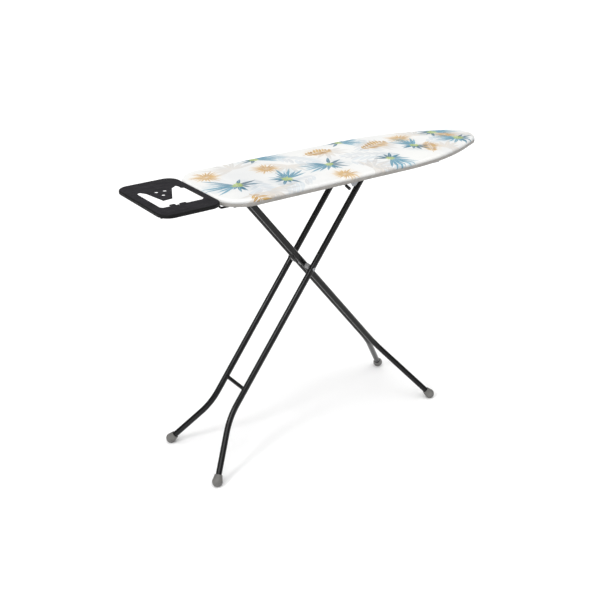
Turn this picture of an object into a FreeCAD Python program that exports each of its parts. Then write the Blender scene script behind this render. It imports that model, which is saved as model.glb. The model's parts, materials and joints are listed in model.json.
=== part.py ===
import FreeCAD, Part
import math
import os

import Sketcher
from FreeCAD import Placement, Rotation, Vector

# Folding ironing board with an iron rest. Millimetres, +Z up, +X towards the pointed nose.
# The origin is on the floor, below the middle of the overall length.

SIZES = {
    # board outline, seen from above
    "tail_x": -410.0,
    "nose_x": 590.0,
    "half_width": 153.5,
    "corner_radius": 85.0,
    "taper_radius": 716.0,
    "taper_angle": 24.6,
    "nose_radius": 68.0,
    # layers of the board, from the top down
    "board_top": 850.0,
    "cloth": 1.5,
    "pad_thickness": 6.0,
    "mesh_thickness": 1.0,
    "rim_height": 10.0,
    "rim_width": 14.0,
    "channel_wall": 1.5,
    "hem_width": 22.0,
    "mesh_margin": 3.5,
    # crosswise rails and the thin steel parts screwed under them
    "rail_width": 24.0,
    "steel_sheet": 2.5,
    "tail_rail_x": -335.0,
    "mid_rail_x": 96.0,
    "front_rail_x": 392.0,
    "front_rail_reach": 114.0,
    "bracket_screw_x": 7.5,
    "bracket_screw_y": 50.0,
    "rack_screw_step": 7.0,
    "screw_radius": 2.5,
    "screw_head_radius": 4.5,
    "screw_head_height": 3.0,
    "screw_grip": 8.0,
    # leg frames: the inner one hangs on the hinge, the outer one slides in the racks
    "rod_height": 810.0,
    "foot_height": 14.0,
    "hinge_x": -279.4,
    "inner_foot_x": 361.7,
    "inner_half_gap": 17.5,
    "inner_foot_half": 134.8,
    "inner_splay_run": 245.0,
    "bar_x": 116.5,
    "outer_foot_x": -473.7,
    "outer_half_gap": 52.3,
    "outer_foot_half": 138.7,
    "outer_splay_run": 168.0,
    "bend_radius": 185.0,
    "tube_radius": 9.0,
    "tube_wall": 1.2,
    "tube_overrun": 10.0,
    "rod_radius": 5.0,
    "running_gap": 0.05,
    "side_gap": 0.3,
    "flat_depth": 0.9,
    "flat_length": 36.0,
    "axle_radius": 4.0,
    "rivet_head_radius": 5.2,
    "rivet_head_height": 2.0,
    "spacer_radius": 8.0,
    "sleeve_radius": 6.0,
    "brace_radius": 5.8,
    "brace_from_bar": 728.5,
    # feet
    "foot_bulb_radius": 15.5,
    "foot_shoulder": 6.0,
    "foot_sleeve_radius": 11.5,
    "foot_sleeve_length": 19.5,
    # hinge bracket
    "ear_half_gap": 33.0,
    "ear_half_width": 13.0,
    "ear_drop": 4.0,
    "bracket_half_length": 20.0,
    "bracket_half_width": 60.0,
    "bush_radius": 8.0,
    "push_cap_radius": 8.0,
    "push_cap_length": 3.5,
    # height racks
    "rack_half_gap": 63.0,
    "rack_start_x": 84.0,
    "rack_end_x": 404.0,
    "rack_bottom": 797.0,
    "rack_flange": 20.0,
    "slot_bottom": 802.5,
    "slot_top": 817.5,
    "slot_end_x": 380.0,
    "notch_depth": 6.5,
    "notch_half": 7.0,
    "notch_pitch": 28.0,
    "bar_half_length": 72.5,
    # release lever
    "lever_y": -80.0,
    "lever_z": 822.0,
    "lever_end_x": -12.0,
    "lever_radius": 2.5,
    "lever_bend": 6.0,
    "finger_z": 800.5,
    "finger_y": -68.5,
    "handle_knee_y": -112.0,
    "handle_knee_z": 821.0,
    "handle_end_y": -143.0,
    "handle_end_z": 811.5,
    "grip_radius": 4.5,
    "grip_length": 16.0,
    "grip_end": 2.0,
    "lever_plate_start": -6.0,
    "lever_plate_length": 36.0,
    "lever_plate_inside": -68.0,
    "lever_ear_x": 6.0,
    "lever_ear_length": 6.0,
    "lever_ear_half": 7.0,
    "lever_ear_below": 6.0,
    "web_y": -131.0,
    "shelf_y": -141.0,
    "shelf_z": 826.5,
    "shelf_length": 28.0,
    "lip_start": 1.0,
    "lip_end": 10.0,
    "lip_z": 815.0,
    "clip_length": 10.0,
    "clip_inside": 7.0,
    "clip_outside": 3.0,
    "clip_below": 5.0,
    "spring_start_x": 40.0,
    "spring_pitch": 2.2,
    "spring_turns": 8.0,
    "spring_radius": 4.3,
    "spring_wire": 0.8,
    # iron rest
    "rest_far_x": -590.0,
    "rest_near_x": -412.5,
    "rest_half_width": 137.0,
    "rest_corner": 36.0,
    "rest_top": 850.0,
    "rest_plate": 1.2,
    "rest_rim_depth": 11.0,
    "rest_rim_width": 6.0,
    "rest_rounding_radius": 3.5,
    "rest_hole_radius": 5.0,
    "rest_rod_radius": 3.0,
    "rest_rod_y": 105.0,
    "rest_rod_bend": 8.0,
    "rod_drop_start": -5.0,
    "rod_drop_end": 3.0,
    "prong_z": 826.0,
    "prong_end_x": -305.0,
    "socket_start_x": -370.0,
    "socket_length": 60.0,
    "socket_half_width": 7.0,
    "socket_bottom": 820.5,
    "socket_tab": 14.0,
    "socket_tab_height": 4.0,
}

SPARE = 20.0          # how far a cutting tool runs past what it cuts
NOTCH_COUNT = 9

# The iron rest's window, counter-clockwise from its near corner, with two lugs on the near
# edge and the tongue between its arms. X is measured from the board's tail.
REST_WINDOW = [(-147, -77), (-126, -77), (-126, -66), (-110, -66), (-110, -77), (-98, -77),
               (-98, -69), (-80, -69), (-80, -77), (-34, -77), (-24, -67), (-24, 26), (-36, 61),
               (-54, 49), (-93, -26), (-121, -29), (-132, 46), (-143, 64), (-153, 55),
               (-153, -70)]
REST_HOLES = [(-105, 40), (-81, 39), (-100, 10)]

doc = FreeCAD.newDocument("ironing_board")
sheet = doc.addObject("Spreadsheet::Sheet", "Sizes")
for row, (alias, number) in enumerate(SIZES.items(), start=1):
    sheet.set(f"A{row}", alias)
    sheet.set(f"B{row}", str(number))
    sheet.setAlias(f"B{row}", alias)
doc.recompute()

nodes = []


# ---------------------------------------------------------------- expressions and placing

def cell(text):
    """An expression in which each word that is an alias reads its cell."""
    words, out = "", ""
    for mark in str(text) + " ":
        if mark.isalnum() or mark == "_":
            words += mark
            continue
        out += ("Sizes." + words if words in SIZES else words) + mark
        words = ""
    return out.strip()


def value(text):
    """The number that an expression gives, in millimetres or degrees."""
    found = sheet.evalExpression(cell(text))
    return float(getattr(found, "Value", found))


def bind(thing, prop, text):
    thing.setExpression(prop, cell(text))


def keep(thing, label):
    """Marks a finished sub-part, whose label is its node and file name."""
    thing.Label = label
    nodes.append(thing)
    return thing


def place(thing, x="0", y="0", z="0"):
    """Binds a thing's position to the sheet and leaves its rotation alone."""
    for prop, text in (("x", x), ("y", y), ("z", z)):
        bind(thing, f"Placement.Base.{prop}", text)
    return thing


# ---------------------------------------------------------------- Part primitives

def box(name, length, width, height, x, y, z):
    thing = doc.addObject("Part::Box", name)
    bind(thing, "Length", length)
    bind(thing, "Width", width)
    bind(thing, "Height", height)
    return place(thing, x, y, z)


def cylinder(name, radius, height, x, y, z, axis=Vector(0, 0, 1)):
    thing = doc.addObject("Part::Cylinder", name)
    bind(thing, "Radius", radius)
    bind(thing, "Height", height)
    thing.Placement = Placement(Vector(), Rotation(Vector(0, 0, 1), axis))
    return place(thing, x, y, z)


def cut(name, base, *tools):
    """The base with the tools taken away."""
    result = base
    for count, tool in enumerate(tools):
        step = doc.addObject("Part::Cut", f"{name}_cut_{count}")
        step.Base, step.Tool = result, tool
        result = step
    return result


def fuse(name, *shapes):
    thing = doc.addObject("Part::MultiFuse", name + "_fused")
    thing.Shapes = list(shapes)
    return thing


def ring(name, outer, inner, height, x, y, z, axis=Vector(0, 1, 0)):
    """A plain bush: one cylinder bored by another."""
    outside = cylinder(name + "_outside", outer, height, x, y, z, axis)
    bore = cylinder(name + "_bore", inner, height, x, y, z, axis)
    return cut(name, outside, bore)


# ---------------------------------------------------------------- sketches and bodies

def new_body(name):
    return doc.addObject("PartDesign::Body", name)


def new_sketch(body, role, name):
    sketch = body.newObject("Sketcher::SketchObject", name)
    plane = next(f for f in body.Origin.OriginFeatures if f.Role == role)
    sketch.AttachmentSupport = [(plane, "")]
    sketch.MapMode = "FlatFace"
    return sketch


def pin_point(sketch, edge, end, x, y):
    """Holds one end of an edge at x, y, both read from the sheet."""
    for kind, text in (("DistanceX", x), ("DistanceY", y)):
        number = sketch.addConstraint(Sketcher.Constraint(kind, edge, end, value(text)))
        bind(sketch, f"Constraints[{number}]", text)


def draw(sketch, corners, closed=True):
    """Draws a loop or a path through corners, each ("x", "y") or ("x", "y", "radius", side).

    The radius is that of the arc that arrives at the corner, and side is 1 where the arc
    turns to the left and -1 where it turns to the right.
    """
    pairs = list(zip(corners, corners[1:] + corners[:1]))
    if not closed:
        pairs = pairs[:-1]
    first = sketch.GeometryCount
    for start, end in pairs:
        a = Vector(value(start[0]), value(start[1]), 0)
        b = Vector(value(end[0]), value(end[1]), 0)
        if len(end) == 2:
            sketch.addGeometry(Part.LineSegment(a, b), False)
            continue
        radius, side = value(end[2]), end[3]
        chord = b - a
        across = Vector(-chord.y, chord.x, 0).normalize() * side
        rise = math.sqrt(max(radius**2 - (chord.Length / 2)**2, 0.0))
        centre = (a + b) / 2 + across * rise
        middle = centre - across * radius
        sketch.addGeometry(Part.Arc(a, middle, b), False)
    for count, (start, end) in enumerate(pairs):
        edge = first + count
        turns_right = len(end) == 4 and end[3] < 0
        begin, finish = (2, 1) if turns_right else (1, 2)
        pin_point(sketch, edge, begin, start[0], start[1])
        if not closed and count == len(pairs) - 1:
            pin_point(sketch, edge, finish, end[0], end[1])
        else:
            following = first + (count + 1) % len(pairs)
            after = pairs[(count + 1) % len(pairs)][1]
            following_begin = 2 if len(after) == 4 and after[3] < 0 else 1
            sketch.addConstraint(
                Sketcher.Constraint("Coincident", edge, finish, following, following_begin))
        if len(end) == 4:
            number = sketch.addConstraint(Sketcher.Constraint("Radius", edge, value(end[2])))
            bind(sketch, f"Constraints[{number}]", end[2])


def draw_circle(sketch, x, y, radius):
    centre = Vector(value(x), value(y), 0)
    edge = sketch.addGeometry(Part.Circle(centre, Vector(0, 0, 1), value(radius)), False)
    pin_point(sketch, edge, 3, x, y)
    number = sketch.addConstraint(Sketcher.Constraint("Radius", edge, value(radius)))
    bind(sketch, f"Constraints[{number}]", radius)


def pad(body, sketch, length, upside_down=False, both_ways=False):
    feature = body.newObject("PartDesign::Pad", sketch.Name + "_pad")
    feature.Profile = sketch
    feature.Reversed = upside_down
    feature.Midplane = both_ways
    bind(feature, "Length", length)
    sketch.Visibility = False
    return feature


def pocket(body, sketch, length):
    """Cuts to both sides of the sketch's plane."""
    feature = body.newObject("PartDesign::Pocket", sketch.Name + "_pocket")
    feature.Profile = sketch
    feature.Midplane = True
    bind(feature, "Length", length)
    return feature


# ---------------------------------------------------------------- board outline

def outline(inset):
    """The board's outline, drawn in by inset: square tail, round corners, tapered nose."""
    turn = "taper_angle"
    run = (f"((half_width - taper_radius * (1 - cos({turn})) - nose_radius * cos({turn}))"
           f" / sin({turn}))")
    nose_centre = "(nose_x - nose_radius)"
    taper_start = (f"({nose_centre} + nose_radius * sin({turn}) - {run} * cos({turn})"
                   f" - taper_radius * sin({turn}))")
    tail = f"tail_x + {inset}"
    tail_half = "(half_width - corner_radius)"
    side = f"(half_width - {inset})"
    taper_x = f"{taper_start} + (taper_radius - {inset}) * sin({turn})"
    taper_y = f"(half_width - taper_radius + (taper_radius - {inset}) * cos({turn}))"
    nose_x = f"{nose_centre} + (nose_radius - {inset}) * sin({turn})"
    nose_y = f"((nose_radius - {inset}) * cos({turn}))"
    corner = f"corner_radius - {inset}"
    return [
        (tail, f"-{tail_half}"),
        ("tail_x + corner_radius", f"-{side}", corner, 1),
        (taper_start, f"-{side}"),
        (taper_x, f"-{taper_y}", f"taper_radius - {inset}", 1),
        (nose_x, f"-{nose_y}"),
        (nose_x, nose_y, f"nose_radius - {inset}", 1),
        (taper_x, taper_y),
        (taper_start, side, f"taper_radius - {inset}", 1),
        ("tail_x + corner_radius", side),
        (tail, tail_half, corner, 1),
    ]


def board_layer(label, inset, thickness, bottom, inner=None, recess=None):
    """A flat layer with the board's outline.

    inner is the inset of an opening right through it. recess is (insets, level, depth): the
    insets that bound a cut, one or two of them, the height it starts at and how far it goes.
    """
    body = new_body(label)
    sketch = new_sketch(body, "XY_Plane", label + "_outline")
    draw(sketch, outline(inset))
    if inner:
        draw(sketch, outline(inner))
    pad(body, sketch, thickness)
    if recess:
        insets, level, depth = recess
        cutter = new_sketch(body, "XY_Plane", label + "_recess")
        for limit in insets:
            draw(cutter, outline(limit))
        bind(cutter, "AttachmentOffset.Base.z", level)
        pocket(body, cutter, f"2 * ({depth})")
    place(body, z=bottom)
    return keep(body, label)


PAD_BOTTOM = "(board_top - cloth - pad_thickness)"
MESH_BOTTOM = f"({PAD_BOTTOM} - mesh_thickness)"
RIM_BOTTOM = f"({MESH_BOTTOM} - rim_height)"

board_layer("cover", "0", f"board_top - {RIM_BOTTOM}", RIM_BOTTOM,
            recess=(["cloth"], "0", f"board_top - cloth - {RIM_BOTTOM}"))
board_layer("cover_hem", "0", "cloth", f"{RIM_BOTTOM} - cloth", inner="hem_width")
board_layer("pad", "cloth", "pad_thickness", PAD_BOTTOM)
board_layer("rim_frame", "cloth", "rim_height", RIM_BOTTOM, inner="(cloth + rim_width)",
            recess=(["(cloth + channel_wall)", "(cloth + rim_width - channel_wall)"],
                    "rim_height", "rim_height - channel_wall"))


def mesh_top():
    """Steel sheet pierced by rows of diamond openings, staggered like expanded metal."""
    body = new_body("mesh_top")
    sketch = new_sketch(body, "XY_Plane", "mesh_outline")
    draw(sketch, outline("mesh_margin"))
    pad(body, sketch, "mesh_thickness")
    holes = new_sketch(body, "XY_Plane", "mesh_holes")
    pitch_x, pitch_y, half_x, half_y = 60.0, 44.0, 22.0, 15.0
    for column in range(-12, 18):
        for rank in range(-3, 4):
            x = column * pitch_x / 2
            y = (rank + (column % 2) / 2) * pitch_y
            room = value("half_width") - 30 - max(0.0, x - 180) * 0.27
            if abs(y) + half_y > room or x - half_x < value("tail_x") + 24 or x > 540:
                continue
            corners = [(x - half_x, y), (x, y - half_y), (x + half_x, y), (x, y + half_y)]
            for (ax, ay), (bx, by) in zip(corners, corners[1:] + corners[:1]):
                holes.addGeometry(Part.LineSegment(Vector(ax, ay, 0), Vector(bx, by, 0)), False)
    pocket(body, holes, "4 * mesh_thickness")
    place(body, z=MESH_BOTTOM)
    return keep(body, "mesh_top")


mesh_top()


# ---------------------------------------------------------------- rails and screws

def screw_at(name, x, y, under):
    """A pan-head screw that goes up through the sheet whose lower face is at under."""
    head = cylinder(name + "_head", "screw_head_radius", "screw_head_height",
                    x, y, f"{under} - screw_head_height")
    shank = cylinder(name + "_shank", "screw_radius", "screw_grip", x, y, under)
    return fuse(name, head, shank)


def screw_hole(name, x, y, under):
    return cylinder(name, "screw_radius", "screw_grip", x, y, under)


def screw_group(label, places, under):
    screws = [screw_at(f"{label}_{n}", x, y, under) for n, (x, y) in enumerate(places)]
    group = doc.addObject("Part::Compound", label + "_group")
    group.Links = screws
    return keep(group, label)


def rim_envelope():
    """The rim's outer form with no groove in it, which trims the rails' ends."""
    body = new_body("rim_envelope")
    sketch = new_sketch(body, "XY_Plane", "rim_envelope_outline")
    draw(sketch, outline("0"))
    draw(sketch, outline("(cloth + rim_width)"))
    pad(body, sketch, "rim_height")
    return place(body, z=RIM_BOTTOM)


solid_rim = rim_envelope()


def rail(label, centre_x, reach, holes, under):
    """A box-section rail between the rim's two sides, under the mesh, with screw holes."""
    bar = box(label + "_bar", "rail_width", f"2 * ({reach})", "rim_height",
              f"{centre_x} - rail_width / 2", f"-({reach})", RIM_BOTTOM)
    inside = box(label + "_inside", "rail_width - 2 * channel_wall", f"2 * ({reach})",
                 "rim_height - 2 * channel_wall",
                 f"{centre_x} - rail_width / 2 + channel_wall", f"-({reach})",
                 f"{RIM_BOTTOM} + channel_wall")
    tools = [screw_hole(f"{label}_hole_{n}", x, y, under) for n, (x, y) in enumerate(holes)]
    return keep(cut(label, bar, inside, solid_rim, *tools), label)


SHEET_UNDER = f"({RIM_BOTTOM} - steel_sheet)"
FULL_REACH = "half_width - cloth - rim_width / 2"
BRACKET_SCREWS = [(f"hinge_x {sx} bracket_screw_x", f"{sy}bracket_screw_y")
                  for sx in "+-" for sy in ("", "-")]
MID_SCREWS = [("mid_rail_x + rack_screw_step", f"{sy}(rack_half_gap + rack_flange / 2 + 2)")
              for sy in ("", "-")]
FRONT_SCREWS = [("front_rail_x", y) for _, y in MID_SCREWS]
SOCKET_SCREWS = [("tail_rail_x", f"{sy}(rest_rod_y - socket_half_width - socket_tab / 2)")
                 for sy in ("", "-")]
SOCKET_UNDER = f"({RIM_BOTTOM} - socket_tab_height)"

rail("tail_rail", "tail_rail_x", FULL_REACH, SOCKET_SCREWS, SOCKET_UNDER)
rail("hinge_rail", "hinge_x", FULL_REACH, BRACKET_SCREWS, SHEET_UNDER)
rail("middle_rail", "mid_rail_x", FULL_REACH, MID_SCREWS, SHEET_UNDER)
rail("front_rail", "front_rail_x", "front_rail_reach", FRONT_SCREWS, SHEET_UNDER)
screw_group("bracket_screws", BRACKET_SCREWS, SHEET_UNDER)
screw_group("rack_screws", MID_SCREWS + FRONT_SCREWS, SHEET_UNDER)
screw_group("socket_screws", SOCKET_SCREWS, SOCKET_UNDER)


# ---------------------------------------------------------------- hinge bracket

def hinge_bracket():
    """A pressed bracket: a flat base under the rail and two ears that hold the hinge rod."""
    base = box("bracket_base", "2 * bracket_half_length", "2 * bracket_half_width", "steel_sheet",
               "hinge_x - bracket_half_length", "-bracket_half_width", SHEET_UNDER)
    pieces = [base]
    for side, y in (("left", "ear_half_gap"), ("right", "-ear_half_gap - steel_sheet")):
        body = new_body(f"ear_{side}")
        sketch = new_sketch(body, "XZ_Plane", f"ear_{side}_shape")
        low = "rod_height - ear_drop"
        draw(sketch, [
            ("hinge_x - ear_half_width", low),
            ("hinge_x + ear_half_width", low, "ear_half_width + 1", 1),
            ("hinge_x + ear_half_width", f"{RIM_BOTTOM} - steel_sheet / 2"),
            ("hinge_x - ear_half_width", f"{RIM_BOTTOM} - steel_sheet / 2"),
        ])
        pad(body, sketch, "steel_sheet", upside_down=True)
        place(body, y=y)
        pieces.append(body)
    reach = "bracket_half_width"
    bore = cylinder("bracket_bore", "rod_radius + running_gap", f"2 * {reach}",
                    "hinge_x", f"-{reach}", "rod_height", Vector(0, 1, 0))
    holes = [screw_hole(f"bracket_hole_{n}", x, y, SHEET_UNDER)
             for n, (x, y) in enumerate(BRACKET_SCREWS)]
    return keep(cut("hinge_bracket", fuse("bracket", *pieces), bore, *holes), "hinge_bracket")


hinge_bracket()


# ---------------------------------------------------------------- height racks

def rack(label, side):
    """A toothed plate: the bar runs in its slot and drops into a notch at each height."""
    body = new_body(label + "_blank")
    plate = new_sketch(body, "XZ_Plane", label + "_plate")
    draw(plate, [
        ("rack_start_x", "rack_bottom"), ("rack_end_x", "rack_bottom"),
        ("rack_end_x", RIM_BOTTOM), ("rack_start_x", RIM_BOTTOM),
    ])
    start = "bar_x - notch_half - 2"
    corners = [(start, "slot_bottom"), ("slot_end_x", "slot_bottom"), ("slot_end_x", "slot_top")]
    for notch in reversed(range(NOTCH_COUNT)):
        middle = f"bar_x + {notch} * notch_pitch"
        corners += [
            (f"{middle} + notch_half", "slot_top"),
            (f"{middle} + notch_half", "slot_top + notch_depth"),
            (f"{middle} - 2", "slot_top + notch_depth"),
            (f"{middle} - notch_half", "slot_top"),
        ]
    corners.append((start, "slot_top"))
    draw(plate, corners)
    pad(body, plate, "steel_sheet", upside_down=side > 0)
    flange = new_sketch(body, "XY_Plane", label + "_flange")
    far = f"{side} * rack_flange"
    draw(flange, [
        ("rack_start_x", "0"), ("rack_end_x", "0"), ("rack_end_x", far), ("rack_start_x", far),
    ])
    flange.AttachmentOffset = Placement(Vector(0, 0, value(SHEET_UNDER)), Rotation())
    bind(flange, "AttachmentOffset.Base.z", SHEET_UNDER)
    pad(body, flange, "steel_sheet")
    place(body, y=f"{side} * rack_half_gap")
    sign = "" if side > 0 else "-"
    places = [p for p in MID_SCREWS + FRONT_SCREWS if p[1].startswith("-") == (sign == "-")]
    tools = [screw_hole(f"{label}_hole_{n}", x, y, SHEET_UNDER) for n, (x, y) in enumerate(places)]
    return keep(cut(label, body, *tools), label)


rack("rack_left", 1)
rack("rack_right", -1)


# ---------------------------------------------------------------- leg frames

def leg_angle(frame):
    """How far a leg frame leans from level, in degrees, and which way its top points."""
    top = "hinge_x" if frame == "inner" else "bar_x"
    return f"atan2(rod_height - foot_height; {top} - {frame}_foot_x)"


def leg_length(frame):
    top = "hinge_x" if frame == "inner" else "bar_x"
    return f"sqrt(pow({top} - {frame}_foot_x; 2) + pow(rod_height - foot_height; 2))"


def leg_placement(frame):
    """Local X runs up the leg from the foot, and local Y stays across the board."""
    return Placement(Vector(value(f"{frame}_foot_x"), 0, value("foot_height")),
                     Rotation(Vector(0, -1, 0), value(leg_angle(frame))))


def pivot_from_top(frame):
    """Distance from a frame's top rod down to the point where the two frames cross."""
    other = "outer" if frame == "inner" else "inner"
    return (f"((bar_x - hinge_x) * sin({leg_angle(other)})"
            f" / sin({leg_angle('inner')} - {leg_angle('outer')}))")


def leg_tube(label, frame, side, axle_gap):
    """A bent tube, flattened beside the crossing and drilled for its rod and the axle."""
    length, half_gap, foot_half = leg_length(frame), f"{frame}_half_gap", f"{frame}_foot_half"
    run = f"{frame}_splay_run"
    splay = f"atan(({foot_half} - {half_gap}) / {run})"
    tangent = f"bend_radius * tan({splay} / 2)"
    body = new_body(label)
    spine = new_sketch(body, "XY_Plane", label + "_spine")
    draw(spine, [
        (f"{length} + tube_overrun", f"{side} * {half_gap}"),
        (f"{run} + {tangent}", f"{side} * {half_gap}"),
        (f"{run} - {tangent} * cos({splay})", f"{side} * ({half_gap} + {tangent} * sin({splay}))",
         "bend_radius", side * -1),
        ("0", f"{side} * {foot_half}"),
    ], closed=False)
    section = new_sketch(body, "YZ_Plane", label + "_section")
    draw_circle(section, f"{side} * {half_gap}", "0", "tube_radius")
    draw_circle(section, f"{side} * {half_gap}", "0", "tube_radius - tube_wall")
    bind(section, "AttachmentOffset.Base.z", f"{length} + tube_overrun")
    doc.recompute()
    pipe = body.newObject("PartDesign::AdditivePipe", label + "_pipe")
    pipe.Profile = section
    pipe.Spine = spine
    pivot_x = f"({length} - {pivot_from_top(frame)})"
    flats = new_sketch(body, "XY_Plane", label + "_flats")
    for way in (1, -1):
        near = f"{side} * {half_gap} + {way} * (tube_radius - flat_depth)"
        far = f"{side} * {half_gap} + {way} * (tube_radius + 2)"
        draw(flats, [
            (f"{pivot_x} - flat_length / 2", near), (f"{pivot_x} + flat_length / 2", near),
            (f"{pivot_x} + flat_length / 2", far), (f"{pivot_x} - flat_length / 2", far),
        ])
    pocket(body, flats, "4 * tube_radius")
    holes = new_sketch(body, "XZ_Plane", label + "_holes")
    draw_circle(holes, length, "0", "rod_radius")
    draw_circle(holes, pivot_x, "0", f"axle_radius + {axle_gap}")
    pocket(body, holes, "4 * outer_half_gap")
    body.Placement = leg_placement(frame)
    return keep(body, label)


def foot_cap(label, frame, side):
    """A moulded cap: a round bulb that stands on a small flat, and a sleeve up the tube."""
    body = new_body(label + "_moulding")
    sketch = new_sketch(body, "XY_Plane", label + "_profile")
    draw(sketch, [
        ("-foot_bulb_radius", "0", "foot_bulb_radius", 1),
        ("0", "0"),
        ("0", "tube_radius"),
        ("foot_sleeve_length", "tube_radius"),
        ("foot_sleeve_length", "foot_sleeve_radius"),
        ("foot_shoulder", "sqrt(pow(foot_bulb_radius; 2) - pow(foot_shoulder; 2))"),
    ])
    turned = body.newObject("PartDesign::Revolution", label + "_turned")
    turned.Profile = sketch
    turned.ReferenceAxis = (sketch, ["H_Axis"])
    turned.Angle = 360
    half_gap, foot_half = f"{frame}_half_gap", f"{frame}_foot_half"
    splay = value(f"atan(({foot_half} - {half_gap}) / {frame}_splay_run)")
    at_foot = Placement(Vector(0, side * value(foot_half), 0),
                        Rotation(Vector(0, 0, 1), -side * splay))
    body.Placement = leg_placement(frame).multiply(at_foot)
    floor = box(label + "_floor", "4 * foot_bulb_radius", "4 * foot_bulb_radius", str(SPARE),
                f"{frame}_foot_x - 2 * foot_bulb_radius",
                f"{side} * {foot_half} - 2 * foot_bulb_radius", str(-SPARE))
    return keep(cut(label, body, floor), label)


for frame, axle_gap in (("inner", "0"), ("outer", "running_gap")):
    for side_name, side in (("left", 1), ("right", -1)):
        leg_tube(f"{frame}_leg_{side_name}", frame, side, axle_gap)
        foot_cap(f"{frame}_foot_{side_name}", frame, side)


def rod_across(label, radius, half_length, x, z):
    """A round rod that lies across the board, centred on its middle."""
    return cylinder(label, radius, f"2 * ({half_length})", x, f"-({half_length})", z,
                    Vector(0, 1, 0))


keep(rod_across("hinge_rod", "rod_radius",
                "ear_half_gap + steel_sheet + side_gap + push_cap_length", "hinge_x",
                "rod_height"), "hinge_rod")
keep(rod_across("height_bar", "rod_radius", "bar_half_length", "bar_x", "rod_height"),
     "height_bar")

TUBE_FACE = "(inner_half_gap + tube_radius)"
BUSH_LENGTH = f"(ear_half_gap - {TUBE_FACE} - side_gap)"
CAP_START = "(ear_half_gap + steel_sheet + side_gap)"
for side_name, bush_y, cap_y in (("left", TUBE_FACE, CAP_START),
                                 ("right", f"-{TUBE_FACE} - {BUSH_LENGTH}",
                                  f"-{CAP_START} - push_cap_length")):
    keep(ring(f"hinge_bush_{side_name}", "bush_radius", "rod_radius", BUSH_LENGTH,
              "hinge_x", bush_y, "rod_height"), f"hinge_bush_{side_name}")
    keep(ring(f"hinge_cap_{side_name}", "push_cap_radius", "rod_radius", "push_cap_length",
              "hinge_x", cap_y, "rod_height"), f"hinge_cap_{side_name}")

# The crossing: one axle through all four tubes, with spacers between the frames.
CROSS_X = f"(hinge_x - {pivot_from_top('inner')} * cos({leg_angle('inner')}))"
CROSS_Z = f"(rod_height - {pivot_from_top('inner')} * sin({leg_angle('inner')}))"
AXLE_HALF = "(outer_half_gap + tube_radius - flat_depth + side_gap)"
INNER_OUT = "(inner_half_gap + tube_radius - flat_depth)"
INNER_IN = "(inner_half_gap - tube_radius + flat_depth)"
SPACER = f"(outer_half_gap - tube_radius + flat_depth - side_gap - {INNER_OUT})"

shank = rod_across("axle_shank", "axle_radius", AXLE_HALF, CROSS_X, CROSS_Z)
heads = [cylinder("axle_head_left", "rivet_head_radius", "rivet_head_height", CROSS_X,
                  AXLE_HALF, CROSS_Z, Vector(0, 1, 0)),
         cylinder("axle_head_right", "rivet_head_radius", "rivet_head_height", CROSS_X,
                  f"-{AXLE_HALF} - rivet_head_height", CROSS_Z, Vector(0, 1, 0))]
keep(fuse("cross_axle", shank, *heads), "cross_axle")
for side_name, y in (("left", INNER_OUT), ("right", f"-{INNER_OUT} - {SPACER}")):
    keep(ring(f"cross_spacer_{side_name}", "spacer_radius", "axle_radius", SPACER, CROSS_X, y,
              CROSS_Z), f"cross_spacer_{side_name}")
keep(ring("cross_sleeve", "sleeve_radius", "axle_radius", f"2 * {INNER_IN}", CROSS_X,
          f"-{INNER_IN}", CROSS_Z), "cross_sleeve")

# The brace is coped to the round walls of the two outer tubes.
COPE_HALF = "3 * tube_radius"
OUTER_LEAN = leg_angle("outer")
brace = rod_across("leg_brace_rod", "brace_radius", "outer_half_gap",
                   f"(bar_x - brace_from_bar * cos({OUTER_LEAN}))",
                   f"(rod_height - brace_from_bar * sin({OUTER_LEAN}))")
lean = math.radians(value(OUTER_LEAN))
copes = [cylinder(f"brace_cope_{side_name}", "tube_radius", f"2 * {COPE_HALF}",
                  f"bar_x - (brace_from_bar + {COPE_HALF}) * cos({OUTER_LEAN})",
                  f"{side} * outer_half_gap",
                  f"rod_height - (brace_from_bar + {COPE_HALF}) * sin({OUTER_LEAN})",
                  Vector(math.cos(lean), 0, math.sin(lean)))
         for side_name, side in (("left", 1), ("right", -1))]
keep(cut("leg_brace", brace, *copes), "leg_brace")


# ---------------------------------------------------------------- bent wires

def bent_wire(points, bend, radius):
    """A round wire through points, with an arc of radius bend at each corner."""
    edges, here = [], points[0]
    for before, corner, after in zip(points, points[1:], points[2:]):
        back, ahead = (before - corner).normalize(), (after - corner).normalize()
        half = back.getAngle(ahead) / 2
        reach = bend / math.tan(half)
        middle = (back + ahead).normalize()
        start, end = corner + back * reach, corner + ahead * reach
        peak = corner + middle * (bend / math.sin(half) - bend)
        edges += [Part.LineSegment(here, start).toShape(), Part.Arc(start, peak, end).toShape()]
        here = end
    edges.append(Part.LineSegment(here, points[-1]).toShape())
    path = Part.Wire(edges)
    start = points[0]
    section = Part.Wire(Part.makeCircle(radius, start, points[1] - start))
    return path.makePipeShell([section], True, False)


def wire_part(label, points, bend, radius):
    thing = doc.addObject("Part::Feature", label)
    thing.Shape = bent_wire(points, value(bend), value(radius))
    return keep(thing, label)


# ---------------------------------------------------------------- release lever

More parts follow.
